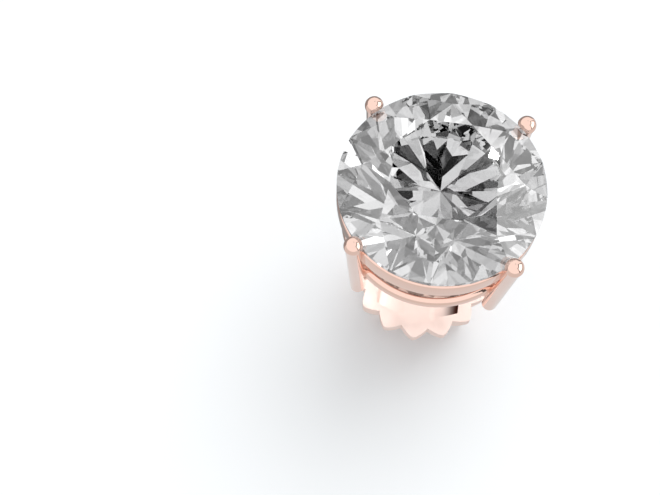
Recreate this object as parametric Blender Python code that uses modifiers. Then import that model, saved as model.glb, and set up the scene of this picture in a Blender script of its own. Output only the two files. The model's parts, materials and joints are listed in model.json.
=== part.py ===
"""Stud earring: a round brilliant stone in a four-prong basket, standing on its toothed friction nut.

Sizes are in millimetres until each finished piece is turned to metres. +Z is up, the floor is Z = 0, and the
post stands on the Z axis.
"""

import math

import bmesh
import bpy
from mathutils import Matrix, Vector

MM = 0.001
MERGE = 0.0001

# Stone, a round brilliant. Shares are of its radius.
STONE_RADIUS = 4.0
STONE_FOLD = 8
FIRST_KITE = math.radians(22.5)
GIRDLE_SIDES = 96
GIRDLE_SHARE = 0.072
TABLE_SHARE = 0.53
STAR_SHARE = 0.525
LOWER_HALF_SHARE = 0.79
CROWN_ANGLE = math.radians(35.5)
PAVILION_ANGLE = math.radians(41)
FACET_EDGE = math.radians(1)

# Nut
DISC_THICKNESS = 0.56
SCROLL_HEIGHT = 2.44
TOOTH_COUNT = 14
TOOTH_TIP = 3.14
TOOTH_VALLEY = 2.71
RIM_START = 2.2
RIM_FALL = 0.10
# Half a tooth, from its valley to its tip: (share of the half pitch, share of the height)
TOOTH_FLANK = (
    (0.00, 0.00),
    (0.40, 0.47),
    (0.70, 0.80),
    (0.86, 0.94),
    (0.95, 0.99),
)
PANEL_HALF_LENGTH = 1.88
PANEL_HALF_WIDTH = 2.16
PANEL_END_HALF_WIDTH = 1.72
PANEL_DEPTH = 0.05
PANEL_FLAT_HALF = 0.80
PANEL_BEND = 3.00
STRIP_THICKNESS = 0.30
STRIP_WIDTH = 2.80
SCROLL_LENGTH = 2.00
SCROLL_CORNER = 0.50
SCROLL_INNER_WALL = 1.45
SCROLL_CURL = math.radians(150)
POST_CLEARANCE = 0.05

# Setting. Drops are below the girdle's upper edge.
HEAD_ABOVE_NUT = 9.72
POST_RADIUS = 0.45
POST_CHAMFER = 0.08
PRONG_COUNT = 4
PRONG_RADIUS = 0.315
BALL_RADIUS = 0.37
BALL_ORBIT = 4.22
BALL_RISE = 0.04
FOOT_ORBIT = 3.86
FOOT_DROP = 4.96
FOOT_ROUNDING = 0.10
RAIL_WALL = 0.45
RAIL_CHAMFER = 0.06
# Rails: (name, outer radius, drop of its top, height)
RAILS = (
    ("upper_rail", 4.00, 0.50, 0.87),
    ("lower_rail", 3.80, 2.85, 0.52),
)
CROSS_WIRE = 0.22
CROSS_DROP = 4.12
POST_RISE = 0.15
STONE_GAP = 0.10

# How finely round shapes are stepped
ROUND_STEPS = 60
WIRE_STEPS = 10
PRONG_STEPS = 16
POST_STEPS = 32
BALL_STEPS = 6
FOOT_STEPS = 3
BOW_STEPS = 12
BEND_STEPS = 6
CORNER_STEPS = 5
CURL_STEPS = 8

# How far an operand reaches past the surface that it cuts
CUT_ROOM = 0.60

NUT_TOP = SCROLL_HEIGHT + DISC_THICKNESS
GIRDLE_TOP = NUT_TOP + HEAD_ABOVE_NUT
GIRDLE_BOTTOM = GIRDLE_TOP - GIRDLE_SHARE * STONE_RADIUS


# Scene and materials


def clear_scene():
    for obj in list(bpy.data.objects):
        bpy.data.objects.remove(obj, do_unlink=True)


def make_collection(name, hidden=False):
    collection = bpy.data.collections.new(name)
    collection.hide_render = hidden
    bpy.context.scene.collection.children.link(collection)
    return collection


def make_material(name, colour, metallic, roughness, transmission=0.0):
    material = bpy.data.materials.new(name)
    material.use_nodes = True
    shader = material.node_tree.nodes["Principled BSDF"]
    shader.inputs["Base Color"].default_value = (*colour, 1.0)
    shader.inputs["Metallic"].default_value = metallic
    shader.inputs["Roughness"].default_value = roughness
    shader.inputs["Transmission Weight"].default_value = transmission
    return material


# Shapes


def object_of(name, mesh, collection, matrix=None):
    obj = bpy.data.objects.new(name, mesh)
    obj.matrix_world = matrix or Matrix.Identity(4)
    collection.objects.link(obj)
    return obj


def operand(obj):
    obj.hide_render = True
    obj.display_type = "WIRE"
    return obj


def settled(obj, collection):
    """Turns an object with modifiers, or a curve, into a plain mesh object with its points in world space."""
    bpy.context.view_layer.update()
    graph = bpy.context.evaluated_depsgraph_get()
    mesh = bpy.data.meshes.new_from_object(obj.evaluated_get(graph))
    mesh.transform(obj.matrix_world)
    shape = bmesh.new()
    shape.from_mesh(mesh)
    bmesh.ops.remove_doubles(shape, verts=shape.verts, dist=MERGE)
    bmesh.ops.recalc_face_normals(shape, faces=shape.faces)
    shape.to_mesh(mesh)
    shape.free()
    name = obj.name
    bpy.data.objects.remove(obj, do_unlink=True)
    return object_of(name, mesh, collection)


def turned(name, profile, steps, collection, matrix=None):
    """A profile of (radius, height) points, from its top down to its bottom, turned about Z."""
    mesh = bpy.data.meshes.new(name)
    points = [(radius, 0.0, height) for radius, height in profile]
    edges = [(i, i + 1) for i in range(len(points) - 1)]
    mesh.from_pydata(points, edges, [])
    obj = object_of(name, mesh, collection, matrix)
    screw = obj.modifiers.new("Turn", "SCREW")
    screw.steps = steps
    screw.render_steps = steps
    screw.use_merge_vertices = True
    screw.merge_threshold = MERGE
    return settled(obj, collection)


def wire_along(name, points, radius, steps, collection):
    """A round wire through the points."""
    curve = bpy.data.curves.new(name, "CURVE")
    curve.dimensions = "3D"
    curve.bevel_depth = radius
    curve.bevel_resolution = steps // 2 - 2
    curve.use_fill_caps = True
    spline = curve.splines.new("POLY")
    spline.points.add(len(points) - 1)
    for slot, point in zip(spline.points, points):
        slot.co = (*point, 1.0)
    return settled(object_of(name, curve, collection), collection)


def flat_plate(name, outline, bottom, top, collection, matrix=None):
    """A closed outline in the XY plane made solid from bottom to top."""
    curve = bpy.data.curves.new(name, "CURVE")
    curve.dimensions = "2D"
    curve.fill_mode = "BOTH"
    curve.extrude = (top - bottom) / 2
    spline = curve.splines.new("POLY")
    spline.points.add(len(outline) - 1)
    for slot, (x, y) in zip(spline.points, outline):
        slot.co = (x, y, 0.0, 1.0)
    spline.use_cyclic_u = True
    placed = (matrix or Matrix.Identity(4)) @ Matrix.Translation((0, 0, (top + bottom) / 2))
    return settled(object_of(name, curve, collection, placed), collection)


def combine(target, other, operation):
    modifier = target.modifiers.new(other.name, "BOOLEAN")
    modifier.operation = operation
    modifier.solver = "EXACT"
    modifier.object = operand(other)


def arc(centre, radius, start, end, steps):
    """Points on an arc in a plane, its two ends included."""
    angles = [start + (end - start) * i / steps for i in range(steps + 1)]
    return [(centre[0] + radius * math.cos(a), centre[1] + radius * math.sin(a)) for a in angles]


def round_about(count, phase=0.0):
    return [phase + 2 * math.pi * i / count for i in range(count)]


def finished(obj, collection, material, sharp=math.radians(35)):
    """The piece with its modifiers applied, in metres and with its material."""
    piece = settled(obj, collection)
    piece.data.transform(Matrix.Scale(MM, 4))
    piece.data.materials.clear()
    piece.data.materials.append(material)
    piece.data.shade_smooth()
    piece.data.set_sharp_from_angle(angle=sharp)
    return piece


# Stone


def crown_and_pavilion_points():
    """The stone's meet points, for a radius of 1 and the girdle's upper edge at 0."""
    step = 2 * math.pi / STONE_FOLD
    half, quarter = step / 2, step / 4
    crown_slope = math.tan(CROWN_ANGLE)
    pavilion_slope = math.tan(PAVILION_ANGLE)
    table_height = (1 - TABLE_SHARE) * crown_slope
    table_side = TABLE_SHARE * math.cos(half)
    star_tip = table_side + STAR_SHARE * (1 - table_side)
    star_height = (1 - star_tip * math.cos(half)) * crown_slope
    upper_slope = star_height / (math.cos(quarter) * (1 - star_tip))
    lower_tip = 1 - LOWER_HALF_SHARE
    lower_fall = (1 - lower_tip * math.cos(half)) * pavilion_slope
    lower_slope = lower_fall / (math.cos(quarter) * (1 - lower_tip))
    points = [(0.0, 0.0, -GIRDLE_SHARE - pavilion_slope)]
    for main in round_about(STONE_FOLD, FIRST_KITE):
        between = main + half
        points.append((TABLE_SHARE * math.cos(main), TABLE_SHARE * math.sin(main), table_height))
        points.append((star_tip * math.cos(between), star_tip * math.sin(between), star_height))
        points.append(
            (lower_tip * math.cos(between), lower_tip * math.sin(between), -GIRDLE_SHARE - lower_fall)
        )
    for angle in round_about(GIRDLE_SIDES, FIRST_KITE):
        off_facet = (angle - FIRST_KITE) % half - quarter
        dip = math.cos(off_facet) - math.cos(quarter)
        x, y = math.cos(angle), math.sin(angle)
        points.append((x, y, -dip * upper_slope))
        points.append((x, y, -GIRDLE_SHARE + dip * lower_slope))
    return points


def build_stone(collection, material):
    shape = bmesh.new()
    for point in crown_and_pavilion_points():
        shape.verts.new(Vector(point) * STONE_RADIUS + Vector((0, 0, GIRDLE_TOP)))
    bmesh.ops.convex_hull(shape, input=shape.verts)
    bmesh.ops.recalc_face_normals(shape, faces=shape.faces)
    bmesh.ops.dissolve_limit(
        shape, angle_limit=math.radians(0.2), verts=shape.verts, edges=shape.edges
    )
    mesh = bpy.data.meshes.new("stone")
    shape.to_mesh(mesh)
    shape.free()
    return finished(object_of("stone", mesh, collection), collection, material, FACET_EDGE)


def build_seat(collection):
    """The stone's room in the prongs: its turned outline, larger by the gap all round."""
    radius = STONE_RADIUS + STONE_GAP
    crown_rise = (radius - TABLE_SHARE * STONE_RADIUS) * math.tan(CROWN_ANGLE)
    pavilion_fall = radius * math.tan(PAVILION_ANGLE)
    profile = (
        (0.0, GIRDLE_TOP + STONE_GAP + crown_rise),
        (TABLE_SHARE * STONE_RADIUS, GIRDLE_TOP + STONE_GAP + crown_rise),
        (radius, GIRDLE_TOP + STONE_GAP),
        (radius, GIRDLE_BOTTOM - STONE_GAP),
        (0.0, GIRDLE_BOTTOM - STONE_GAP - pavilion_fall),
    )
    return turned("seat", profile, ROUND_STEPS, collection)


# Setting


def prong_matrix(azimuth):
    """Puts a prong's own Z axis on the line from its foot to its ball."""
    out = Vector((math.cos(azimuth), math.sin(azimuth), 0))
    foot = out * FOOT_ORBIT + Vector((0, 0, GIRDLE_TOP - FOOT_DROP))
    ball = out * BALL_ORBIT + Vector((0, 0, GIRDLE_TOP + BALL_RISE))
    turn = (ball - foot).to_track_quat("Z", "Y").to_matrix().to_4x4()
    return Matrix.Translation(foot) @ turn


def prong_profile():
    length = math.hypot(BALL_ORBIT - FOOT_ORBIT, FOOT_DROP + BALL_RISE)
    neck = -math.acos(PRONG_RADIUS / BALL_RADIUS)
    ball = arc((0.0, length), BALL_RADIUS, math.pi / 2, neck, BALL_STEPS)
    ball[0] = (0.0, length + BALL_RADIUS)
    edge = PRONG_RADIUS - FOOT_ROUNDING
    foot = arc((edge, FOOT_ROUNDING), FOOT_ROUNDING, 0.0, -math.pi / 2, FOOT_STEPS)
    return [*ball, *foot, (0.0, 0.0)]


def rail_profile(outer, drop, height):
    """A rail's section: a rectangle with its outer edges chamfered, as a closed loop."""
    top = GIRDLE_TOP - drop
    bottom = top - height
    inner = outer - RAIL_WALL
    loop = [
        (inner, top),
        (outer - RAIL_CHAMFER, top),
        (outer, top - RAIL_CHAMFER),
        (outer, bottom + RAIL_CHAMFER),
        (outer - RAIL_CHAMFER, bottom),
        (inner, bottom),
    ]
    return [*loop, loop[0]]


def build_setting(collection, operands, material):
    cross_height = GIRDLE_TOP - CROSS_DROP
    post_top = cross_height + POST_RISE
    profile = (
        (0.0, post_top),
        (POST_RADIUS, post_top),
        (POST_RADIUS, POST_CHAMFER),
        (POST_RADIUS - POST_CHAMFER, 0.0),
        (0.0, 0.0),
    )
    setting = turned("setting", profile, POST_STEPS, collection)
    for name, outer, drop, height in RAILS:
        rail = turned(name, rail_profile(outer, drop, height), ROUND_STEPS, operands)
        combine(setting, rail, "UNION")
    azimuths = round_about(PRONG_COUNT, math.pi / PRONG_COUNT)
    for number, azimuth in enumerate(azimuths, 1):
        prong = turned(
            f"prong_{number}", prong_profile(), PRONG_STEPS, operands, prong_matrix(azimuth)
        )
        combine(setting, prong, "UNION")
    lean = (BALL_ORBIT - FOOT_ORBIT) / (FOOT_DROP + BALL_RISE)
    reach = FOOT_ORBIT + lean * (FOOT_DROP - CROSS_DROP)
    for number, azimuth in enumerate(azimuths[: PRONG_COUNT // 2], 1):
        end = Vector((math.cos(azimuth), math.sin(azimuth), 0)) * reach
        rise = Vector((0, 0, cross_height))
        cross = wire_along(
            f"cross_{number}", (rise - end, rise + end), CROSS_WIRE, WIRE_STEPS, operands
        )
        combine(setting, cross, "UNION")
    combine(setting, build_seat(operands), "DIFFERENCE")
    return finished(setting, collection, material)


# Nut


def tooth_outline():
    pitch = 2 * math.pi / TOOTH_COUNT
    height = TOOTH_TIP - TOOTH_VALLEY
    outline = []
    for valley in round_about(TOOTH_COUNT):
        rising = [(valley + pitch / 2 * along, share) for along, share in TOOTH_FLANK]
        falling = [(valley + pitch - pitch / 2 * along, share) for along, share in TOOTH_FLANK[:0:-1]]
        tip = [(valley + pitch / 2, 1.0)]
        for angle, share in rising + tip + falling:
            radius = TOOTH_VALLEY + height * share
            outline.append((radius * math.cos(angle), radius * math.sin(angle)))
    return outline


def panel_outline():
    """The sunk panel's plan: straight ends, and bowed front and back edges."""
    bow = PANEL_HALF_WIDTH - PANEL_END_HALF_WIDTH
    radius = (PANEL_HALF_LENGTH**2 + bow**2) / (2 * bow)
    half_angle = math.asin(PANEL_HALF_LENGTH / radius)
    centre = PANEL_HALF_WIDTH - radius
    top = math.pi / 2
    back = arc((0.0, centre), radius, top - half_angle, top + half_angle, BOW_STEPS)
    return back + [(-x, -y) for x, y in back]


def panel_section():
    """The panel's floor along X, flat in the middle and bending down at both ends, with room above."""
    most = math.asin((PANEL_HALF_LENGTH - PANEL_FLAT_HALF) / PANEL_BEND)
    bend = []
    for i in range(BEND_STEPS + 1):
        angle = most * i / BEND_STEPS
        x = PANEL_FLAT_HALF + PANEL_BEND * math.sin(angle)
        bend.append((x, NUT_TOP - PANEL_DEPTH - PANEL_BEND * (1 - math.cos(angle))))
    above = NUT_TOP + CUT_ROOM
    left = [(-x, z) for x, z in reversed(bend)]
    return [*left, *bend, (PANEL_HALF_LENGTH, above), (-PANEL_HALF_LENGTH, above)]


def upright_plate(name, outline, half_width, collection):
    """A plate whose outline is in X and Z, with the given half width along Y."""
    upright = Matrix.Rotation(math.pi / 2, 4, "X")
    return flat_plate(name, outline, -half_width, half_width, collection, upright)


def scroll_line():
    """The strip's centre line on the +X side: down from the disc, along the floor, up the post and curled."""
    half = STRIP_THICKNESS / 2
    near = POST_RADIUS + POST_CLEARANCE + half
    far = near - STRIP_THICKNESS + SCROLL_LENGTH
    corner = SCROLL_CORNER
    low = half + corner
    down = math.pi / 2
    return [
        (far, SCROLL_HEIGHT + STRIP_THICKNESS),
        *arc((far - corner, low), corner, 0.0, -down, CORNER_STEPS),
        *arc((near + corner, low), corner, -down, -math.pi, CORNER_STEPS),
        *arc((near + corner, SCROLL_INNER_WALL), corner, math.pi, math.pi - SCROLL_CURL, CURL_STEPS),
    ]


def strip_outline(line):
    """The outline of a strip of the named thickness about its centre line."""
    points = [Vector(point) for point in line]
    half = STRIP_THICKNESS / 2
    outer, inner = [], []
    for i, point in enumerate(points):
        before = points[max(i - 1, 0)]
        after = points[min(i + 1, len(points) - 1)]
        incoming = (point - before).normalized() if i else (after - point).normalized()
        outgoing = (after - point).normalized() if i < len(points) - 1 else incoming
        along = (incoming + outgoing).normalized()
        across = Vector((along.y, -along.x)) * half / along.dot(outgoing)
        outer.append(tuple(point + across))
        inner.append(tuple(point - across))
    return outer + inner[::-1]


def build_nut(collection, operands, material):
    bottom = NUT_TOP - DISC_THICKNESS
    nut = flat_plate("ear_nut", tooth_outline(), bottom, NUT_TOP, collection)
    reach = TOOTH_TIP + CUT_ROOM
    fall = RIM_FALL * (reach - RIM_START) / (TOOTH_TIP - RIM_START)
    dome = (
        (0.0, NUT_TOP),
        (RIM_START, NUT_TOP),
        (reach, NUT_TOP - fall),
        (reach, bottom - CUT_ROOM),
        (0.0, bottom - CUT_ROOM),
    )
    combine(nut, turned("dome", dome, ROUND_STEPS, operands), "INTERSECT")
    panel = upright_plate("panel", panel_section(), TOOTH_TIP, operands)
    plan = flat_plate("panel_plan", panel_outline(), bottom, NUT_TOP + 2 * CUT_ROOM, operands)
    combine(panel, plan, "INTERSECT")
    combine(nut, settled(panel, operands), "DIFFERENCE")
    right = strip_outline(scroll_line())
    left = [(-x, z) for x, z in right]
    for name, outline in (("scroll_right", right), ("scroll_left", left)):
        combine(nut, upright_plate(name, outline, STRIP_WIDTH / 2, operands), "UNION")
    hole = POST_RADIUS + POST_CLEARANCE
    over, under = NUT_TOP + CUT_ROOM, bottom - CUT_ROOM
    drill = ((0.0, over), (hole, over), (hole, under), (0.0, under))
    combine(nut, turned("hole", drill, POST_STEPS, operands), "DIFFERENCE")
    return finished(nut, collection, material)


def main():
    clear_scene()
    earring = make_collection("stud_earring")
    operands = make_collection("operands", hidden=True)
    rose_gold = make_material("rose_gold", (0.78, 0.50, 0.41), 1.0, 0.12)
    diamond = make_material("diamond", (0.92, 0.93, 0.94), 0.0, 0.0, transmission=1.0)
    build_stone(earring, diamond)
    build_setting(earring, operands, rose_gold)
    build_nut(earring, operands, rose_gold)


main()
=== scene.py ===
"""Stud earring: a round brilliant diamond in a four-prong rose gold basket on its toothed friction nut.

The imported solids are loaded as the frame. The basket and the nut are modelled again with finer rounding, the
stone keeps its own facets, and each is given its finish. Sizes are in millimetres until a piece is seated.
"""

from __future__ import annotations

import json
import logging
import math
from collections.abc import Callable, Sequence
from dataclasses import dataclass
from enum import Enum

import bmesh
import bpy
from mathutils import Matrix, Vector

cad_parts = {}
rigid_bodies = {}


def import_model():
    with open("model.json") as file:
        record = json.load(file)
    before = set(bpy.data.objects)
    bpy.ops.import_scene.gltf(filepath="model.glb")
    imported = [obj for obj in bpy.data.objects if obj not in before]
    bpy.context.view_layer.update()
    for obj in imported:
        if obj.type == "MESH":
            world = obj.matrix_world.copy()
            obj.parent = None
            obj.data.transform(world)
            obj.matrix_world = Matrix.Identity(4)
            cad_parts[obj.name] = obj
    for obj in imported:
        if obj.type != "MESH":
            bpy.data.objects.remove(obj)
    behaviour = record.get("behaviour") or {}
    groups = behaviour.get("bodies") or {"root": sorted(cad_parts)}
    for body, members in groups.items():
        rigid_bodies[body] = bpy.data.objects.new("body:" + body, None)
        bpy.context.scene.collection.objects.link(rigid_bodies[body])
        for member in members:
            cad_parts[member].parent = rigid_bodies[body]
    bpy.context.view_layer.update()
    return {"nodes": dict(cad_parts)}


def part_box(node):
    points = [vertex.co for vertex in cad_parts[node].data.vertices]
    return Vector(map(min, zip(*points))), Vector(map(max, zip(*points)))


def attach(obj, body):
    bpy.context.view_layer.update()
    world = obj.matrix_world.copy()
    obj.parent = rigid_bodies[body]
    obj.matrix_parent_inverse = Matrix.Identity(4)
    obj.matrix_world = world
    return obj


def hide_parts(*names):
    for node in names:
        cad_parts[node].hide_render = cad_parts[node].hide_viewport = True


LOG = logging.getLogger("stud_earring")
MM = 0.001
MERGE = 0.0002

Point = tuple[float, float]


class Body(Enum):
    """The two rigid bodies of the earring."""

    NUT = "nut"
    STUD = "stud"


class Slot(Enum):
    """The record's material slots."""

    STONE = "stone"
    METAL = "rose_gold"


# Colour and nodes


def linear(hex_colour: str) -> tuple[float, float, float, float]:
    """Turns an sRGB hex colour to linear RGBA.

    Args:
        hex_colour: six hex digits.

    Returns:
        The linear colour with an alpha of 1.
    """
    parts = [int(hex_colour[i : i + 2], 16) / 255 for i in (0, 2, 4)]
    red, green, blue = [c / 12.92 if c <= 0.04045 else ((c + 0.055) / 1.055) ** 2.4 for c in parts]
    return (red, green, blue, 1.0)


def add_node(
    tree: bpy.types.NodeTree,
    kind: str,
    settings: dict[str, object] | None = None,
    inputs: dict[str | int, object] | None = None,
) -> bpy.types.Node:
    """Adds a node with its settings and its inputs.

    Args:
        tree: the node tree.
        kind: the node's type name.
        settings: properties to set on the node.
        inputs: for each input socket, a value or the output socket to link.

    Returns:
        The new node.
    """
    node = tree.nodes.new(kind)
    for name, value in (settings or {}).items():
        setattr(node, name, value)
    for key, value in (inputs or {}).items():
        if isinstance(value, bpy.types.NodeSocket):
            tree.links.new(value, node.inputs[key])
        else:
            node.inputs[key].default_value = value
    return node


# Finishes


@dataclass(frozen=True)
class RoseGold:
    """Rose gold, an alloy of gold with copper, cast, then polished with a felt wheel.

    The polish gives mirror reflections in a warm pink, deeper where metal reflects metal, and the wheel
    leaves a faint haze and hairlines that soften them a little.
    """

    name: str
    roughness: float
    colour: str = "F5D4C6"
    worn_colour: str = "F1CDBE"
    haze_mm: float = 1.4
    hairline_mm: float = 0.05
    hairline_depth_mm: float = 0.0006
    # Painted reflection: an optional dark tint, blended in along X, that stands for the dark underside of the
    # basket mirrored in the nut panel's bent end.
    painted_reflection_colour: str = "3A1D16"
    painted_reflection_from_mm: float = 0.0
    painted_reflection_to_mm: float = 0.0

    def material(self) -> bpy.types.Material:
        """Builds the material.

        Returns:
            The node material.
        """
        made = bpy.data.materials.new(self.name)
        made.use_nodes = True
        tree = made.node_tree
        shader = tree.nodes["Principled BSDF"]
        place = add_node(tree, "ShaderNodeTexCoord").outputs["Object"]
        haze = add_node(
            tree,
            "ShaderNodeTexNoise",
            inputs={"Vector": place, "Scale": 1 / (self.haze_mm * MM), "Detail": 3.0},
        ).outputs["Fac"]
        tint = add_node(
            tree,
            "ShaderNodeMix",
            {"data_type": "RGBA"},
            {"Factor": haze, 6: linear(self.colour), 7: linear(self.worn_colour)},
        ).outputs[2]
        # Paints the dark reflection into the tint when a span along X is given.
        if self.painted_reflection_to_mm > self.painted_reflection_from_mm:
            tint = self.with_painted_reflection(tree, place, tint)
        rough = add_node(
            tree,
            "ShaderNodeMapRange",
            inputs={
                "Value": haze,
                "From Min": 0.3,
                "From Max": 0.7,
                "To Min": self.roughness * 0.8,
                "To Max": self.roughness * 1.3,
            },
        ).outputs["Result"]
        hairlines = add_node(
            tree,
            "ShaderNodeTexNoise",
            inputs={"Vector": place, "Scale": 1 / (self.hairline_mm * MM), "Detail": 2.0},
        ).outputs["Fac"]
        bump = add_node(
            tree,
            "ShaderNodeBump",
            inputs={"Strength": 1.0, "Distance": self.hairline_depth_mm * MM, "Height": hairlines},
        ).outputs["Normal"]
        tree.links.new(tint, shader.inputs["Base Color"])
        tree.links.new(rough, shader.inputs["Roughness"])
        tree.links.new(bump, shader.inputs["Normal"])
        shader.inputs["Metallic"].default_value = 1.0
        return made

    def with_painted_reflection(
        self, tree: bpy.types.NodeTree, place: bpy.types.NodeSocket, tint: bpy.types.NodeSocket
    ) -> bpy.types.NodeSocket:
        """Paints a dark reflection into the tint along X, standing for the dark that a bent, polished end
        mirrors.

        Args:
            tree: the material's node tree.
            place: the object coordinates.
            tint: the clean metal's tint.

        Returns:
            The tint's socket.
        """
        along = add_node(tree, "ShaderNodeSeparateXYZ", inputs={"Vector": place}).outputs["X"]
        share = add_node(
            tree,
            "ShaderNodeMapRange",
            {"interpolation_type": "SMOOTHSTEP"},
            {"Value": along, "From Min": self.painted_reflection_from_mm * MM, "From Max": self.painted_reflection_to_mm * MM},
        ).outputs["Result"]
        return add_node(
            tree,
            "ShaderNodeMix",
            {"data_type": "RGBA"},
            {"Factor": share, 6: tint, 7: linear(self.painted_reflection_colour)},
        ).outputs[2]


@dataclass(frozen=True)
class Diamond:
    """Colourless diamond, its facets polished on a cast iron wheel with diamond dust.

    The high index turns light back from the pavilion, so each facet shows a grey of its own. The girdle is
    rounded by grinding and only finely polished, which leaves it a shade hazier.
    """

    girdle_low_mm: float
    girdle_high_mm: float
    name: str = "diamond_polished"
    colour: str = "FDFDFE"
    index: float = 2.417
    facet_roughness: float = 0.0
    girdle_roughness: float = 0.02

    def material(self) -> bpy.types.Material:
        """Builds the material.

        Returns:
            The node material.
        """
        made = bpy.data.materials.new(self.name)
        made.use_nodes = True
        tree = made.node_tree
        shader = tree.nodes["Principled BSDF"]
        place = add_node(tree, "ShaderNodeTexCoord").outputs["Object"]
        height = add_node(tree, "ShaderNodeSeparateXYZ", inputs={"Vector": place}).outputs["Z"]
        above = add_node(
            tree,
            "ShaderNodeMath",
            {"operation": "GREATER_THAN"},
            {0: height, 1: self.girdle_low_mm * MM},
        ).outputs[0]
        below = add_node(
            tree,
            "ShaderNodeMath",
            {"operation": "LESS_THAN"},
            {0: height, 1: self.girdle_high_mm * MM},
        ).outputs[0]
        band = add_node(tree, "ShaderNodeMath", {"operation": "MULTIPLY"}, {0: above, 1: below}).outputs[0]
        rough = add_node(
            tree,
            "ShaderNodeMapRange",
            inputs={"Value": band, "To Min": self.facet_roughness, "To Max": self.girdle_roughness},
        ).outputs["Result"]
        tree.links.new(rough, shader.inputs["Roughness"])
        shader.inputs["Base Color"].default_value = linear(self.colour)
        shader.inputs["IOR"].default_value = self.index
        shader.inputs["Transmission Weight"].default_value = 1.0
        return made


# Modelling by hand


def clear_selection() -> None:
    """Leaves edit mode and deselects everything."""
    if bpy.context.mode != "OBJECT":
        bpy.ops.object.mode_set(mode="OBJECT")
    bpy.ops.object.select_all(action="DESELECT")


def edit(obj: bpy.types.Object) -> None:
    """Makes one object the active one and enters its edit mode."""
    clear_selection()
    obj.select_set(True)
    bpy.context.view_layer.objects.active = obj
    bpy.ops.object.mode_set(mode="EDIT")


def select_verts(obj: bpy.types.Object, test: Callable[[Vector], bool]) -> int:
    """Selects, in edit mode, the vertices that pass a test, and nothing else.

    Args:
        obj: the object in edit mode.
        test: takes a vertex's place.

    Returns:
        How many are selected.
    """
    bpy.ops.mesh.select_mode(type="VERT")
    bpy.ops.mesh.select_all(action="DESELECT")
    shape = bmesh.from_edit_mesh(obj.data)
    found = 0
    for vert in shape.verts:
        if test(vert.co):
            vert.select = True
            found += 1
    shape.select_flush_mode()
    bmesh.update_edit_mesh(obj.data)
    return found


def start_vertex(name: str, place: Vector) -> bpy.types.Object:
    """A new object of a single vertex, in edit mode with it selected.

    Args:
        name: the object's name.
        place: where the vertex is.

    Returns:
        The object.
    """
    clear_selection()
    bpy.ops.mesh.primitive_plane_add(size=1.0)
    obj = bpy.context.active_object
    obj.name = name
    bpy.ops.object.mode_set(mode="EDIT")
    bpy.ops.mesh.select_all(action="SELECT")
    bpy.ops.mesh.merge(type="CENTER")
    bpy.ops.transform.translate(value=place)
    return obj


def turned(name: str, profile: Sequence[Point], steps: int, closed: bool = False) -> bpy.types.Object:
    """A profile drawn point by point, then spun about Z.

    Args:
        name: the object's name.
        profile: radius and height of each point.
        steps: how many sides the turn has.
        closed: whether the profile is a loop.

    Returns:
        The turned object, closed and facing outwards.
    """
    points = [Vector((radius, 0.0, height)) for radius, height in profile]
    if closed:
        points.append(points[0])
    obj = start_vertex(name, points[0])
    for before, after in zip(points, points[1:]):
        bpy.ops.mesh.extrude_vertices_move(TRANSFORM_OT_translate={"value": after - before})
    bpy.ops.mesh.select_all(action="SELECT")
    bpy.ops.mesh.remove_doubles(threshold=MERGE)
    bpy.ops.mesh.select_all(action="SELECT")
    bpy.ops.mesh.spin(steps=steps, angle=2 * math.pi, center=(0, 0, 0), axis=(0, 0, 1))
    bpy.ops.mesh.select_all(action="SELECT")
    bpy.ops.mesh.remove_doubles(threshold=MERGE)
    bpy.ops.mesh.normals_make_consistent(inside=False)
    bpy.ops.object.mode_set(mode="OBJECT")
    return obj


def modify(obj: bpy.types.Object, kind: str, **settings: object) -> None:
    """Adds a modifier with its settings and applies it."""
    clear_selection()
    obj.select_set(True)
    bpy.context.view_layer.objects.active = obj
    modifier = obj.modifiers.new(kind.lower(), kind)
    for name, value in settings.items():
        setattr(modifier, name, value)
    bpy.ops.object.modifier_apply(modifier=modifier.name)


def cut(obj: bpy.types.Object, cutter: bpy.types.Object, operation: str = "DIFFERENCE") -> None:
    """Combines an object with a cutter, which is then removed.

    Args:
        obj: the object that is changed.
        cutter: the other object.
        operation: the Boolean operation.
    """
    modify(obj, "BOOLEAN", operation=operation, solver="EXACT", object=cutter)
    bpy.data.objects.remove(cutter, do_unlink=True)


def copy_turned(obj: bpy.types.Object, name: str, angle: float) -> bpy.types.Object:
    """A copy with its own mesh, turned about Z.

    Args:
        obj: the object to copy.
        name: the copy's name.
        angle: the turn, in radians.

    Returns:
        The copy.
    """
    clear_selection()
    obj.select_set(True)
    bpy.context.view_layer.objects.active = obj
    bpy.ops.object.duplicate(linked=False)
    made = bpy.context.active_object
    made.name = name
    made.rotation_euler = (0.0, 0.0, angle)
    bpy.ops.object.transform_apply(location=True, rotation=True, scale=True)
    return made


def seat(
    obj: bpy.types.Object, body: Body, node: str, material: bpy.types.Material, sharp: float = 35.0
) -> None:
    """Turns a finished piece to metres and puts it on its body in place of its solid.

    Args:
        obj: the piece, in millimetres.
        body: the body it moves with.
        node: the solid it stands for.
        material: its finish.
        sharp: edges steeper than this many degrees stay crisp.
    """
    clear_selection()
    obj.select_set(True)
    bpy.context.view_layer.objects.active = obj
    obj.scale = (MM, MM, MM)
    bpy.ops.object.transform_apply(location=True, rotation=True, scale=True)
    bpy.ops.object.shade_smooth_by_angle(angle=math.radians(sharp))
    obj.data.materials.clear()
    obj.data.materials.append(material)
    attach(obj, body.value)
    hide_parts(node)
    obj.visible_transmission = False
    LOG.info("%s: %d faces on %s", obj.name, len(obj.data.polygons), body.value)


def arc(centre: Point, radius: float, start: float, end: float, steps: int) -> list[Point]:
    """Points on an arc in a plane, both ends included.

    Args:
        centre: the arc's centre.
        radius: its radius.
        start: the first angle, in degrees.
        end: the last angle, in degrees.
        steps: how many steps it has.

    Returns:
        The points.
    """
    angles = [math.radians(start + (end - start) * i / steps) for i in range(steps + 1)]
    return [(centre[0] + radius * math.cos(a), centre[1] + radius * math.sin(a)) for a in angles]


# Stone


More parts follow.
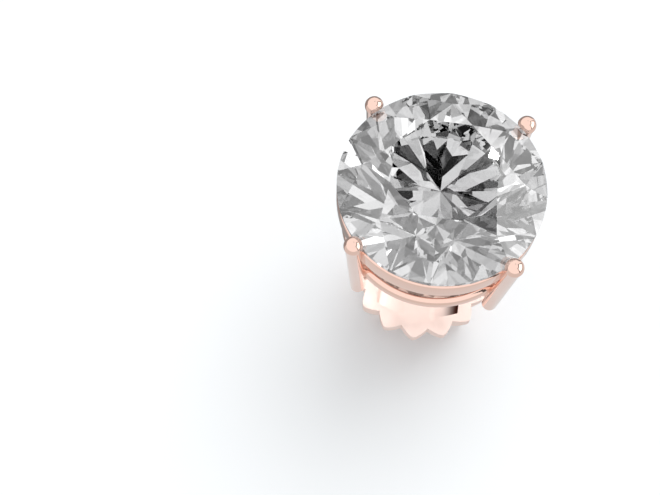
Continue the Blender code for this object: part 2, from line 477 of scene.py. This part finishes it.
@dataclass
class Stone:
    """The round brilliant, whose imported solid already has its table, crown, girdle and pavilion."""

    girdle_top: float
    radius: float = 4.0
    girdle_share: float = 0.072
    table_share: float = 0.53
    crown_angle: float = 35.5
    pavilion_angle: float = 41.0
    girdle_below: float = 0.02
    girdle_above: float = 0.08
    turn_sides: int = 96

    @property
    def table_rise(self) -> float:
        """The table's height over the girdle's upper edge."""
        return (1 - self.table_share) * self.radius * math.tan(math.radians(self.crown_angle))

    @property
    def girdle_bottom(self) -> float:
        """The height of the girdle's lower edge."""
        return self.girdle_top - self.girdle_share * self.radius

    def seat_cutter(self, gap: float) -> bpy.types.Object:
        """The stone's room in its prongs.

        Args:
            gap: the room round the stone.

        Returns:
            A turned object for a Boolean.
        """
        radius = self.radius + gap
        table = self.table_share * self.radius
        rise = (radius - table) * math.tan(math.radians(self.crown_angle))
        fall = radius * math.tan(math.radians(self.pavilion_angle))
        profile = (
            (0.0, self.girdle_top + gap + rise),
            (table, self.girdle_top + gap + rise),
            (radius, self.girdle_top + gap),
            (radius, self.girdle_bottom - gap),
            (0.0, self.girdle_bottom - gap - fall),
        )
        return turned("seat_cutter", profile, self.turn_sides)

    def dress(self, node: bpy.types.Object) -> None:
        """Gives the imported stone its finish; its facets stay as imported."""
        finish = Diamond(self.girdle_bottom + self.girdle_below, self.girdle_top - self.girdle_above)
        node.data.materials.clear()
        node.data.materials.append(finish.material())
        LOG.info("%s: %d facets' triangles", node.name, len(node.data.polygons))


# Basket


@dataclass(frozen=True)
class Rail:
    """One ring of the gallery: its outer radius, its top's drop below the girdle, its height and its edges.

    The brow is the rounding of the outer upper edge, which catches the light.
    """

    name: str
    outer: float
    drop: float
    height: float
    rounding: float
    brow: float


@dataclass
class Basket:
    """Four ball-tipped prongs, two rails, the crossed wires under the stone and the post, soldered."""

    stone: Stone
    finish: RoseGold
    prong_radius: float = 0.315
    ball_radius: float = 0.37
    ball_orbit: float = 4.22
    ball_rise: float = 0.04
    foot_orbit: float = 3.86
    foot_drop: float = 4.96
    foot_rounding: float = 0.10
    rail_wall: float = 0.45
    rails: tuple[Rail, ...] = (
        Rail("upper_rail", outer=4.00, drop=0.50, height=0.87, rounding=0.06, brow=0.12),
        Rail("lower_rail", outer=3.80, drop=2.85, height=0.52, rounding=0.05, brow=0.25),
    )
    cross_radius: float = 0.22
    cross_drop: float = 4.12
    post_radius: float = 0.45
    post_chamfer: float = 0.08
    post_rounding: float = 0.02
    post_rise: float = 0.15
    seat_gap: float = 0.06
    first_azimuth: float = 45.0
    prong_sides: int = 48
    rail_sides: int = 160
    wire_sides: int = 28
    post_sides: int = 64

    def build(self) -> None:
        """Builds and dresses each piece of the basket."""
        material = self.finish.material()
        pieces = [*self.build_prongs(), *self.build_rails(), *self.build_cross(), self.build_post()]
        for piece in pieces:
            seat(piece, Body.STUD, "setting", material)

    @property
    def lean(self) -> float:
        """How far a prong leans outwards from upright, in radians."""
        return math.atan2(self.ball_orbit - self.foot_orbit, self.foot_drop + self.ball_rise)

    def build_prongs(self) -> list[bpy.types.Object]:
        """Turns one prong with its ball, leans it, cuts its seat and copies it round.

        Returns:
            The four prongs.
        """
        length = math.hypot(self.ball_orbit - self.foot_orbit, self.foot_drop + self.ball_rise)
        neck = -math.degrees(math.acos(self.prong_radius / self.ball_radius))
        ball = arc((0.0, length), self.ball_radius, 90.0, neck, 18)
        ball[0] = (0.0, length + self.ball_radius)
        edge = self.prong_radius - self.foot_rounding
        foot = arc((edge, self.foot_rounding), self.foot_rounding, 0.0, -90.0, 6)
        prong = turned("prong_1", [*ball, *foot, (0.0, 0.0)], self.prong_sides)
        foot_height = self.stone.girdle_top - self.foot_drop
        prong.matrix_world = Matrix.Translation((self.foot_orbit, 0.0, foot_height)) @ Matrix.Rotation(
            self.lean, 4, "Y"
        )
        clear_selection()
        prong.select_set(True)
        bpy.context.view_layer.objects.active = prong
        bpy.ops.object.transform_apply(location=True, rotation=True, scale=True)
        cut(prong, self.stone.seat_cutter(self.seat_gap))
        prong.rotation_euler = (0.0, 0.0, math.radians(self.first_azimuth))
        prong.select_set(True)
        bpy.ops.object.transform_apply(location=True, rotation=True, scale=True)
        copies = [copy_turned(prong, f"prong_{i + 1}", math.radians(90 * i)) for i in (1, 2, 3)]
        return [prong, *copies]

    def build_rails(self) -> list[bpy.types.Object]:
        """Turns the two rails from their rounded section.

        Returns:
            The upper and the lower rail.
        """
        made = []
        for rail in self.rails:
            high = self.stone.girdle_top - rail.drop
            low = high - rail.height
            inner = rail.outer - self.rail_wall
            r, brow = rail.rounding, rail.brow
            section = [
                *arc((rail.outer - brow, high - brow), brow, 90.0, 0.0, 10),
                *arc((rail.outer - r, low + r), r, 0.0, -90.0, 6),
                *arc((inner + r, low + r), r, -90.0, -180.0, 6),
                *arc((inner + r, high - r), r, 180.0, 90.0, 6),
            ]
            ring = turned(rail.name, section, self.rail_sides, closed=True)
            cut(ring, self.stone.seat_cutter(self.seat_gap))
            made.append(ring)
        return made

    def build_cross(self) -> list[bpy.types.Object]:
        """Builds the two wires that cross under the stone and carry the post.

        Returns:
            The wires.
        """
        reach = self.foot_orbit + math.tan(self.lean) * (self.foot_drop - self.cross_drop)
        height = self.stone.girdle_top - self.cross_drop
        section = arc((0.0, 0.0), self.cross_radius, 90.0, 90.0 - 360.0, self.wire_sides)[:-1]
        wire = start_vertex("cross_wire_1", Vector((-reach, section[0][0], height + section[0][1])))
        for before, after in zip(section, [*section[1:], section[0]]):
            step = Vector((0.0, after[0] - before[0], after[1] - before[1]))
            bpy.ops.mesh.extrude_vertices_move(TRANSFORM_OT_translate={"value": step})
        bpy.ops.mesh.select_all(action="SELECT")
        bpy.ops.mesh.remove_doubles(threshold=MERGE)
        bpy.ops.mesh.select_all(action="SELECT")
        bpy.ops.mesh.edge_face_add()
        bpy.ops.mesh.extrude_region_move(TRANSFORM_OT_translate={"value": (2 * reach, 0.0, 0.0)})
        bpy.ops.mesh.select_all(action="SELECT")
        bpy.ops.mesh.normals_make_consistent(inside=False)
        bpy.ops.object.mode_set(mode="OBJECT")
        other = copy_turned(wire, "cross_wire_2", math.radians(self.first_azimuth - 90.0))
        wire.rotation_euler = (0.0, 0.0, math.radians(self.first_azimuth))
        clear_selection()
        wire.select_set(True)
        bpy.context.view_layer.objects.active = wire
        bpy.ops.object.transform_apply(location=True, rotation=True, scale=True)
        return [wire, other]

    def build_post(self) -> bpy.types.Object:
        """Turns the post, whose end is chamfered.

        Returns:
            The post.
        """
        top = self.stone.girdle_top - self.cross_drop + self.post_rise
        c = self.post_chamfer
        profile = [
            (0.0, top),
            (self.post_radius - c, top),
            (self.post_radius, top - c),
            (self.post_radius, c),
            (self.post_radius - c, 0.0),
            (0.0, 0.0),
        ]
        post = turned("post", profile, self.post_sides)
        modify(
            post,
            "BEVEL",
            width=self.post_rounding,
            segments=2,
            limit_method="ANGLE",
            angle_limit=math.radians(30),
        )
        return post


# Nut


@dataclass
class Nut:
    """The friction nut: a stamped disc with pointed teeth and a sunk panel, and two scrolls for the post.

    The flank table runs over half a tooth, from its valley to its tip: share of the half pitch, share of the
    tooth's height.
    """

    top: float
    # The disc's gold carries a painted paleness for the light it catches.
    finish: RoseGold
    # Gold with a painted dark reflection for the panel's bent right end, in place of the basket's underside
    # mirrored there.
    reflection_painted_gold: RoseGold
    thickness: float = 0.56
    tooth_count: int = 14
    tooth_sides: int = 20
    tip: float = 3.14
    valley: float = 2.71
    rim_start: float = 2.2
    rim_fall: float = 0.10
    edge_rounding: float = 0.035
    panel_half_length: float = 1.88
    panel_half_width: float = 2.16
    panel_end_half_width: float = 1.72
    panel_depth: float = 0.05
    panel_flat_half: float = 0.80
    panel_bend: float = 3.00
    panel_columns: int = 48
    floor_facing: float = 0.5
    strip_thickness: float = 0.30
    strip_width: float = 2.80
    scroll_length: float = 2.00
    scroll_corner: float = 0.50
    scroll_inner_wall: float = 1.45
    scroll_curl: float = 150.0
    hole_radius: float = 0.50
    flank: tuple[Point, ...] = (
        (0.0, 0.0),
        (0.2, 0.235),
        (0.4, 0.47),
        (0.7, 0.80),
        (0.8, 0.89),
        (0.9, 0.965),
        (1.0, 1.0),
    )

    def build(self) -> None:
        """Builds and dresses the disc and the two scrolls."""
        material = self.finish.material()
        disc = self.build_disc()
        right = self.build_scroll()
        left = copy_turned(right, "nut_scroll_left", math.pi)
        for piece in (disc, right, left):
            seat(piece, Body.NUT, "ear_nut", material, sharp=28.0)
        # Paints the dark reflection on the panel's bent right end.
        self.paint_reflection_on_end(disc)

    def toothed_disc(self) -> bpy.types.Object:
        """Pulls a round disc's rim in and out, one phase of all the teeth at a time.

        Returns:
            The toothed disc.
        """
        sides = self.tooth_sides
        clear_selection()
        bpy.ops.mesh.primitive_cylinder_add(
            vertices=self.tooth_count * sides,
            radius=self.tip,
            depth=self.thickness,
            location=(0.0, 0.0, self.top - self.thickness / 2),
        )
        disc = bpy.context.active_object
        disc.name = "nut_disc"
        bpy.ops.object.transform_apply(location=True, rotation=True, scale=True)
        edit(disc)
        pitch = 2 * math.pi / self.tooth_count
        for step in range(sides // 2):
            along = 2 * step / sides
            radius = self.valley + (self.tip - self.valley) * self.flank_share(along)

            def in_phase(place: Vector, wanted: float = along) -> bool:
                if math.hypot(place.x, place.y) < self.tip * 0.999:
                    return False
                turn = math.atan2(place.y, place.x) % pitch / pitch
                return abs(1 - abs(1 - 2 * turn) - wanted) < 0.5 / sides

            select_verts(disc, in_phase)
            factor = radius / self.tip
            bpy.ops.transform.resize(value=(factor, factor, 1.0), center_override=(0.0, 0.0, 0.0))
        bpy.ops.object.mode_set(mode="OBJECT")
        return disc

    def flank_share(self, along: float) -> float:
        """The tooth's height share at a share of its half pitch, between the named points."""
        for (x0, y0), (x1, y1) in zip(self.flank, self.flank[1:]):
            if x0 <= along <= x1:
                return y0 + (y1 - y0) * (along - x0) / (x1 - x0)
        return 1.0

    def build_disc(self) -> bpy.types.Object:
        """Builds the disc, with its falling rim, its sunk panel, its hole and its rounded edges.

        Returns:
            The disc.
        """
        disc = self.toothed_disc()
        reach = self.tip + 0.6
        slope = self.rim_fall / (self.tip - self.rim_start) ** 2
        steps = 8
        fall = []
        for i in range(steps + 1):
            radius = self.rim_start + (reach - self.rim_start) * i / steps
            fall.append((radius, self.top - slope * (radius - self.rim_start) ** 2))
        low = self.top - self.thickness * 2
        dome = turned("dome", [(0.0, self.top), *fall, (reach, low), (0.0, low)], 128)
        cut(disc, dome, "INTERSECT")
        cut(disc, self.panel_cutter())
        clear_selection()
        bpy.ops.mesh.primitive_cylinder_add(
            vertices=64, radius=self.hole_radius, depth=self.thickness * 4, location=(0.0, 0.0, self.top)
        )
        cut(disc, bpy.context.active_object)
        modify(
            disc,
            "BEVEL",
            width=self.edge_rounding,
            segments=3,
            limit_method="ANGLE",
            angle_limit=math.radians(32),
            use_clamp_overlap=True,
        )
        return disc

    def paint_reflection_on_end(self, disc: bpy.types.Object) -> None:
        """Gives the bent right end of the sunk panel the gold with the painted dark reflection.

        Args:
            disc: the seated disc.
        """
        disc.data.materials.append(self.reflection_painted_gold.material())
        high = (self.top - self.panel_depth * 0.9) * MM
        edit(disc)
        shape = bmesh.from_edit_mesh(disc.data)
        for face in shape.faces:
            middle = face.calc_center_median()
            bent = self.panel_flat_half * MM < middle.x < self.panel_half_length * MM
            sunk = abs(middle.y) < self.panel_half_width * MM and middle.z < high
            if bent and sunk and face.normal.z > self.floor_facing:
                face.material_index = 1
        bmesh.update_edit_mesh(disc.data)
        bpy.ops.object.mode_set(mode="OBJECT")

    def panel_cutter(self) -> bpy.types.Object:
        """Shapes the room of the sunk panel: bowed front and back, and a floor that bends down at both ends.

        Returns:
            An object for a Boolean.
        """
        columns = self.panel_columns
        clear_selection()
        bpy.ops.mesh.primitive_grid_add(
            x_subdivisions=columns, y_subdivisions=2, size=2.0, location=(0.0, 0.0, 0.0)
        )
        cutter = bpy.context.active_object
        cutter.name = "panel_cutter"
        cutter.scale = (self.panel_half_length, self.panel_half_width, 1.0)
        cutter.location = (0.0, 0.0, self.top - self.panel_depth)
        bpy.ops.object.transform_apply(location=True, rotation=True, scale=True)
        edit(cutter)
        bpy.ops.mesh.select_all(action="SELECT")
        bpy.ops.mesh.extrude_region_move(TRANSFORM_OT_translate={"value": (0.0, 0.0, self.thickness * 2)})
        bow = self.panel_half_width - self.panel_end_half_width
        radius = (self.panel_half_length**2 + bow**2) / (2 * bow)
        middle = self.top + self.thickness / 2
        for i in range(columns + 1):
            x = -self.panel_half_length + 2 * self.panel_half_length * i / columns
            width = self.panel_half_width - radius + math.sqrt(radius**2 - x**2)
            select_verts(cutter, lambda place, at=x: abs(place.x - at) < 0.01)
            bpy.ops.transform.resize(
                value=(1.0, width / self.panel_half_width, 1.0), center_override=(x, 0.0, 0.0)
            )
            past = abs(x) - self.panel_flat_half
            if past <= 0:
                continue
            drop = self.panel_bend - math.sqrt(self.panel_bend**2 - past**2)
            select_verts(cutter, lambda place, at=x: abs(place.x - at) < 0.01 and place.z < middle)
            bpy.ops.transform.translate(value=(0.0, 0.0, -drop))
        bpy.ops.mesh.select_all(action="SELECT")
        bpy.ops.mesh.normals_make_consistent(inside=False)
        bpy.ops.object.mode_set(mode="OBJECT")
        return cutter

    def build_scroll(self) -> bpy.types.Object:
        """Draws the strip's line down from the disc, along the floor, up the post and round, and thickens it.

        Returns:
            The scroll on the +X side.
        """
        half = self.strip_thickness / 2
        near = self.hole_radius + half
        far = near - self.strip_thickness + self.scroll_length
        corner = self.scroll_corner
        low = half + corner
        line = [
            (far, self.top - self.thickness + 0.05),
            *arc((far - corner, low), corner, 0.0, -90.0, 10),
            *arc((near + corner, low), corner, -90.0, -180.0, 10),
            *arc((near + corner, self.scroll_inner_wall), corner, 180.0, 180.0 - self.scroll_curl, 16),
        ]
        back = self.strip_width / 2
        scroll = start_vertex("nut_scroll_right", Vector((line[0][0], -back, line[0][1])))
        for before, after in zip(line, line[1:]):
            step = Vector((after[0] - before[0], 0.0, after[1] - before[1]))
            bpy.ops.mesh.extrude_vertices_move(TRANSFORM_OT_translate={"value": step})
        bpy.ops.mesh.select_all(action="SELECT")
        bpy.ops.mesh.extrude_edges_move(TRANSFORM_OT_translate={"value": (0.0, self.strip_width, 0.0)})
        bpy.ops.mesh.select_all(action="SELECT")
        bpy.ops.mesh.normals_make_consistent(inside=False)
        bpy.ops.object.mode_set(mode="OBJECT")
        modify(scroll, "SOLIDIFY", thickness=self.strip_thickness, offset=0.0, use_even_offset=True)
        edit(scroll)
        bpy.ops.mesh.select_all(action="SELECT")
        bpy.ops.mesh.normals_make_consistent(inside=False)
        bpy.ops.object.mode_set(mode="OBJECT")
        modify(
            scroll,
            "BEVEL",
            width=0.05,
            segments=3,
            limit_method="ANGLE",
            angle_limit=math.radians(50),
            use_clamp_overlap=True,
        )
        return scroll


# Studio


@dataclass(frozen=True)
class PhotoCamera:
    """The camera that took the picture, from above and a little to the right."""

    place_mm: tuple[float, float, float] = (-1.76, -17.06, 48.48)
    azimuth: float = 8.47
    elevation: float = 68.53
    roll: float = -0.13
    lens: float = 56.59
    sensor: float = 36.0

    def build(self) -> None:
        """Places the camera and makes it the scene's own."""
        data = bpy.data.cameras.new("photo_camera")
        data.sensor_width = self.sensor
        data.lens = self.lens
        data.clip_start = 0.001
        data.clip_end = 10.0
        camera = bpy.data.objects.new("photo_camera", data)
        bpy.context.scene.collection.objects.link(camera)
        a, e = math.radians(self.azimuth), math.radians(self.elevation)
        back = Vector((math.sin(a) * math.cos(e), -math.cos(a) * math.cos(e), math.sin(e)))
        right = Vector((math.cos(a), math.sin(a), 0.0))
        up = back.cross(right)
        turn = Matrix((right, up, back)).transposed().to_4x4()
        roll = Matrix.Rotation(math.radians(self.roll), 4, "Z")
        camera.matrix_world = Matrix.Translation(Vector(self.place_mm) * MM) @ turn @ roll
        bpy.context.scene.camera = camera


@dataclass(frozen=True)
class Panel:
    """A cloth of the tent, between two azimuths and two elevations, in degrees from +X and from the floor."""

    left: float
    right: float
    low: float
    high: float
    light: float


@dataclass(frozen=True)
class Card:
    """A round reflector or black flag: where it hangs, its angular radius in degrees and its light."""

    azimuth: float
    elevation: float
    radius: float
    light: float


@dataclass(frozen=True)
class Studio:
    """A white floor under a bright tent, a soft lamp from behind on the right and one for the nut's disc."""

    floor_size: float = 2.0
    floor_colour: str = "F4F7F9"
    grain_colour: str = "F2F5F7"
    grain_scale: float = 60.0
    tent_light: float = 0.88
    metal_light: float = 1.12
    metal_tent: tuple[Panel, ...] = (
        Panel(-180.0, 180.0, -90.0, -2.0, 0.76),
        Panel(60.0, 180.0, -70.0, 4.0, 0.34),
        Panel(77.0, 93.0, 60.5, 67.5, 0.0),
        Panel(78.4, 79.6, 61.7, 62.3, 30.0),
        Panel(-37.0, 44.0, -8.0, 54.0, 0.10),
        Panel(-29.0, 37.0, 0.0, 45.0, 1.9),
    )
    gem_light: float = 0.92
    gem_cards: tuple[Card, ...] = (
        Card(-120.0, 60.0, 24.0, 0.12),
        Card(72.0, 65.0, 24.0, 0.89),
        Card(151.0, -70.0, 6.0, 1.70),
        Card(-65.0, 70.0, 17.0, 0.04),
        Card(-56.0, 40.0, 8.0, 0.94),
        Card(-142.0, 75.0, 3.0, 0.90),
        Card(-13.0, 55.0, 6.0, 0.00),
        Card(-116.0, 20.0, 6.0, 0.00),
        Card(-154.0, 40.0, 4.0, 0.00),
        Card(-106.0, 20.0, 4.0, 1.64),
        Card(-95.0, 45.0, 6.0, 0.60),
        Card(57.0, 55.0, 17.0, 0.54),
        Card(48.0, -55.0, 24.0, 0.97),
        Card(7.0, 70.0, 8.0, 1.04),
        Card(-125.0, 35.0, 6.0, 0.00),
        Card(127.0, 20.0, 24.0, 1.00),
        Card(-29.0, 40.0, 3.0, 1.38),
        Card(-110.0, 60.0, 4.0, 0.00),
        Card(123.0, 75.0, 8.0, 1.02),
        Card(-132.0, 65.0, 6.0, 0.00),
        Card(-96.0, 65.0, 6.0, 0.55),
        Card(-124.0, 45.0, 4.0, 0.93),
        Card(97.0, -80.0, 17.0, 0.21),
        Card(43.0, 40.0, 24.0, 0.75),
        Card(-130.0, -60.0, 6.0, 1.07),
        Card(-160.0, 40.0, 6.0, 0.47),
        Card(171.0, -55.0, 8.0, 1.62),
        Card(-166.0, -45.0, 17.0, 0.02),
        Card(-36.0, 15.0, 12.0, 0.80),
        Card(-69.0, 40.0, 8.0, 0.82),
        Card(-112.0, 85.0, 9.0, 0.00),
        Card(-77.0, 4.0, 6.0, 0.00),
        Card(-111.0, -18.0, 6.0, 0.00),
        Card(-83.0, 45.0, 5.0, 0.00),
        Card(163.0, -70.0, 8.0, 1.70),
        Card(-17.0, 75.0, 4.0, 0.0),
        Card(-178.0, 73.0, 4.0, 0.0),
        Card(-123.0, 51.0, 4.0, 0.0),
        Card(117.0, -35.0, 8.0, 0.0),
        Card(-140.0, 17.0, 5.0, 0.0),
        Card(4.0, 23.0, 6.0, 0.0),
        Card(58.0, -37.0, 6.0, 0.1),
        Card(-94.0, 57.0, 3.0, 1.3),
        Card(-67.0, 32.0, 3.0, 3.5),
        Card(-174.0, 50.0, 2.0, 1.3),
        Card(15.0, 57.0, 2.0, 1.5),
        Card(-114.0, -55.0, 4.0, 0.7),
        Card(156.0, 73.0, 3.0, 1.4),
    )
    cell_scale: float = 6.0
    cell_tones: tuple[tuple[float, float], ...] = (
        (0.0, 0.01),
        (0.10, 0.18),
        (0.28, 0.40),
        (0.52, 0.60),
        (0.78, 0.84),
    )
    lamp_watts: float = 0.38
    lamp_size: float = 0.24
    lamp_place: tuple[float, float, float] = (0.07, 0.13, 0.28)
    fill_watts: float = 0.28
    fill_size: float = 0.20
    fill_place: tuple[float, float, float] = (-0.03, 0.10, 0.26)
    bounces: int = 24
    stone_bounces: int = 20
    mirror_bounces: int = 12
    matt_bounces: int = 4
    glow_from: float = 2.0
    glow_strength: float = 0.9
    glow_size: float = 0.35

    def build(self) -> None:
        """Builds the floor, the tent and the lamps."""
        floor = self.build_floor()
        self.build_tent()
        soft = self.build_lamp("soft_lamp", self.lamp_place, self.lamp_size, self.lamp_watts)
        soft.visible_glossy = False
        fill = self.build_lamp("nut_fill", self.fill_place, self.fill_size, self.fill_watts)
        self.aim_only_at(fill, [obj for obj in bpy.data.objects if obj.name.startswith("nut_disc")], floor)
        scene = bpy.context.scene
        scene.view_settings.view_transform = "Standard"
        scene.view_settings.look = "None"
        scene.cycles.max_bounces = self.bounces
        scene.cycles.transmission_bounces = self.stone_bounces
        scene.cycles.glossy_bounces = self.mirror_bounces
        scene.cycles.diffuse_bounces = self.matt_bounces
        self.add_glow(scene)

    def add_glow(self, scene: bpy.types.Scene) -> None:
        """Lets the brightest glints of the stone bloom a little, as they do in a lens."""
        scene.use_nodes = True
        tree = scene.node_tree
        tree.nodes.clear()
        picture = add_node(tree, "CompositorNodeRLayers").outputs["Image"]
        glow = add_node(
            tree,
            "CompositorNodeGlare",
            {"glare_type": "BLOOM", "quality": "HIGH"},
            {
                "Image": picture,
                "Threshold": self.glow_from,
                "Strength": self.glow_strength,
                "Size": self.glow_size,
            },
        ).outputs["Image"]
        add_node(tree, "CompositorNodeComposite", inputs={"Image": glow})

    def build_floor(self) -> bpy.types.Object:
        """Lays the matt white floor.

        Returns:
            The floor.
        """
        clear_selection()
        bpy.ops.mesh.primitive_plane_add(size=self.floor_size)
        floor = bpy.context.active_object
        floor.name = "floor"
        made = bpy.data.materials.new("matt_white_board")
        made.use_nodes = True
        tree = made.node_tree
        shader = tree.nodes["Principled BSDF"]
        place = add_node(tree, "ShaderNodeTexCoord").outputs["Object"]
        grain = add_node(
            tree, "ShaderNodeTexNoise", inputs={"Vector": place, "Scale": self.grain_scale}
        ).outputs["Fac"]
        tint = add_node(
            tree,
            "ShaderNodeMix",
            {"data_type": "RGBA"},
            {"Factor": grain, 6: linear(self.floor_colour), 7: linear(self.grain_colour)},
        ).outputs[2]
        tree.links.new(tint, shader.inputs["Base Color"])
        shader.inputs["Roughness"].default_value = 0.9
        shader.inputs["Specular IOR Level"].default_value = 0.1
        floor.data.materials.append(made)
        floor.visible_transmission = False
        floor.visible_glossy = False
        return floor

    def build_tent(self) -> None:
        """Lights the world as a white tent.

        The floor takes the plain tent, metal mirrors one set of cloths and the stone gathers another.
        """
        world = bpy.data.worlds.new("tent")
        bpy.context.scene.world = world
        world.use_nodes = True
        tree = world.node_tree
        tree.nodes.clear()
        side = add_node(tree, "ShaderNodeTexCoord").outputs["Generated"]
        parts = add_node(tree, "ShaderNodeSeparateXYZ", inputs={"Vector": side})
        azimuth = add_node(
            tree,
            "ShaderNodeMath",
            {"operation": "ARCTAN2"},
            {0: parts.outputs["Y"], 1: parts.outputs["X"]},
        ).outputs[0]
        elevation = add_node(
            tree, "ShaderNodeMath", {"operation": "ARCSINE"}, {0: parts.outputs["Z"]}
        ).outputs[0]
        metal = self.hung(tree, azimuth, elevation, self.metal_light, self.metal_tent)
        gem = self.cells(tree, side)
        stone_light = self.background(tree, gem, self.gem_light)
        plain = self.background(tree, None, self.tent_light)
        path = add_node(tree, "ShaderNodeLightPath")
        first = add_node(
            tree,
            "ShaderNodeMixShader",
            inputs={0: path.outputs["Is Glossy Ray"], 1: plain, 2: self.background(tree, metal, 1.0)},
        ).outputs[0]
        second = add_node(
            tree,
            "ShaderNodeMixShader",
            inputs={0: path.outputs["Is Transmission Ray"], 1: first, 2: stone_light},
        ).outputs[0]
        add_node(tree, "ShaderNodeOutputWorld", inputs={"Surface": second})

    def background(
        self, tree: bpy.types.NodeTree, colour: bpy.types.NodeSocket | None, strength: float
    ) -> bpy.types.NodeSocket:
        """A background of a colour, or of white.

        Args:
            tree: the world's node tree.
            colour: the colour's socket, if it varies.
            strength: its strength.

        Returns:
            The background's output.
        """
        shade = colour if colour is not None else (1.0, 1.0, 1.0, 1.0)
        made = add_node(tree, "ShaderNodeBackground", inputs={"Color": shade, "Strength": strength})
        return made.outputs[0]

    def hung(
        self,
        tree: bpy.types.NodeTree,
        azimuth: bpy.types.NodeSocket,
        elevation: bpy.types.NodeSocket,
        base: float,
        panels: Sequence[Panel],
    ) -> bpy.types.NodeSocket:
        """The tent's light with panels hung over it, each over those before it.

        Args:
            tree: the world's node tree.
            azimuth: the direction's angle from +X.
            elevation: its angle above the floor.
            base: the light of the bare tent.
            panels: the panels.

        Returns:
            The light's socket.
        """
        light: object = base
        for panel in panels:
            inside: object = 1.0
            for angle, low, high in (
                (azimuth, panel.left, panel.right),
                (elevation, panel.low, panel.high),
            ):
                middle = math.radians((low + high) / 2)
                half = math.radians((high - low) / 2)
                within = add_node(
                    tree, "ShaderNodeMath", {"operation": "COMPARE"}, {0: angle, 1: middle, 2: half}
                ).outputs[0]
                inside = add_node(
                    tree, "ShaderNodeMath", {"operation": "MULTIPLY"}, {0: inside, 1: within}
                ).outputs[0]
            light = add_node(
                tree,
                "ShaderNodeMix",
                {"data_type": "FLOAT"},
                {"Factor": inside, 2: light, 3: panel.light},
            ).outputs[0]
        return light

    def cells(self, tree: bpy.types.NodeTree, side: bpy.types.NodeSocket) -> bpy.types.NodeSocket:
        """What shows through the stone: small cloths from white to grey, under reflectors and flags.

        Each card hangs over those before it.

        Args:
            tree: the world's node tree.
            side: the direction.

        Returns:
            The light's socket.
        """
        cells = add_node(
            tree,
            "ShaderNodeTexVoronoi",
            {"feature": "F1", "distance": "EUCLIDEAN"},
            {"Vector": side, "Scale": self.cell_scale, "Randomness": 1.0},
        ).outputs["Color"]
        tone = add_node(tree, "ShaderNodeSeparateColor", inputs={"Color": cells}).outputs["Red"]
        ramp_node = add_node(tree, "ShaderNodeValToRGB", inputs={"Fac": tone})
        ramp = ramp_node.color_ramp
        ramp.interpolation = "CONSTANT"
        while len(ramp.elements) < len(self.cell_tones):
            ramp.elements.new(0.5)
        for element, (place, value) in zip(ramp.elements, self.cell_tones):
            element.position = place
            element.color = (value, value, value, 1.0)
        light = ramp_node.outputs["Color"]
        for card in self.gem_cards:
            a, e = math.radians(card.azimuth), math.radians(card.elevation)
            axis = (math.cos(e) * math.cos(a), math.cos(e) * math.sin(a), math.sin(e))
            near = add_node(
                tree, "ShaderNodeVectorMath", {"operation": "DOT_PRODUCT"}, {0: side, 1: axis}
            ).outputs["Value"]
            inside = add_node(
                tree,
                "ShaderNodeMath",
                {"operation": "GREATER_THAN"},
                {0: near, 1: math.cos(math.radians(card.radius))},
            ).outputs[0]
            light = add_node(
                tree,
                "ShaderNodeMix",
                {"data_type": "FLOAT"},
                {"Factor": inside, 2: light, 3: card.light},
            ).outputs[0]
        return light

    def build_lamp(
        self, name: str, place_m: tuple[float, float, float], size: float, watts: float
    ) -> bpy.types.Object:
        """Hangs a soft lamp and turns it to the earring.

        Args:
            name: the lamp's name.
            place_m: where it hangs, in metres.
            size: its width, in metres.
            watts: its power.

        Returns:
            The lamp.
        """
        data = bpy.data.lights.new(name, "AREA")
        data.shape = "DISK"
        data.size = size
        data.energy = watts
        lamp = bpy.data.objects.new(name, data)
        bpy.context.scene.collection.objects.link(lamp)
        place = Vector(place_m)
        lamp.location = place
        lamp.rotation_mode = "QUATERNION"
        lamp.rotation_quaternion = (place - Vector((0.0, 0.0, 0.005))).to_track_quat("Z", "Y")
        lamp.visible_transmission = False
        return lamp

    def aim_only_at(
        self, lamp: bpy.types.Object, pieces: Sequence[bpy.types.Object], floor: bpy.types.Object
    ) -> None:
        """Lets a lamp light some pieces alone, past the head that hangs over them.

        Args:
            lamp: the lamp.
            pieces: what it lights.
            floor: the one thing that may shade it.
        """
        lit = bpy.data.collections.new(f"{lamp.name}_lit")
        for piece in pieces:
            lit.objects.link(piece)
        shading = bpy.data.collections.new(f"{lamp.name}_shading")
        shading.objects.link(floor)
        lamp.light_linking.receiver_collection = lit
        lamp.light_linking.blocker_collection = shading


def main() -> None:
    """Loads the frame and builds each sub-assembly in order."""
    logging.basicConfig(level=logging.INFO, format="%(message)s")
    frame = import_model()
    table_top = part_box("stone")[1].z / MM
    nut_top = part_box("ear_nut")[1].z / MM
    stone = Stone(girdle_top=table_top - Stone(girdle_top=0.0).table_rise)
    stone.dress(frame["nodes"]["stone"])
    Basket(stone, RoseGold("rose_gold_polished", 0.03)).build()
    # Painted light: the nut's gold is paler and less pink than the basket's, standing in for the brighter
    # light on its disc; the higher roughness is the stamped satin.
    stamped_painted_bright = RoseGold("rose_gold_stamped", 0.48, "F9E6DE", "F7E0D7")
    # Painted reflection: the same pale gold, darkened along X towards the panel's right end in place of the
    # dark it would mirror.
    reflection_painted_gold = RoseGold("rose_gold_hollow", 0.40, "F9E6DE", "F7E0D7", painted_reflection_from_mm=0.95, painted_reflection_to_mm=1.85)
    Nut(nut_top, stamped_painted_bright, reflection_painted_gold).build()
    Studio().build()
    PhotoCamera().build()


if __name__ == "__main__":
    main()
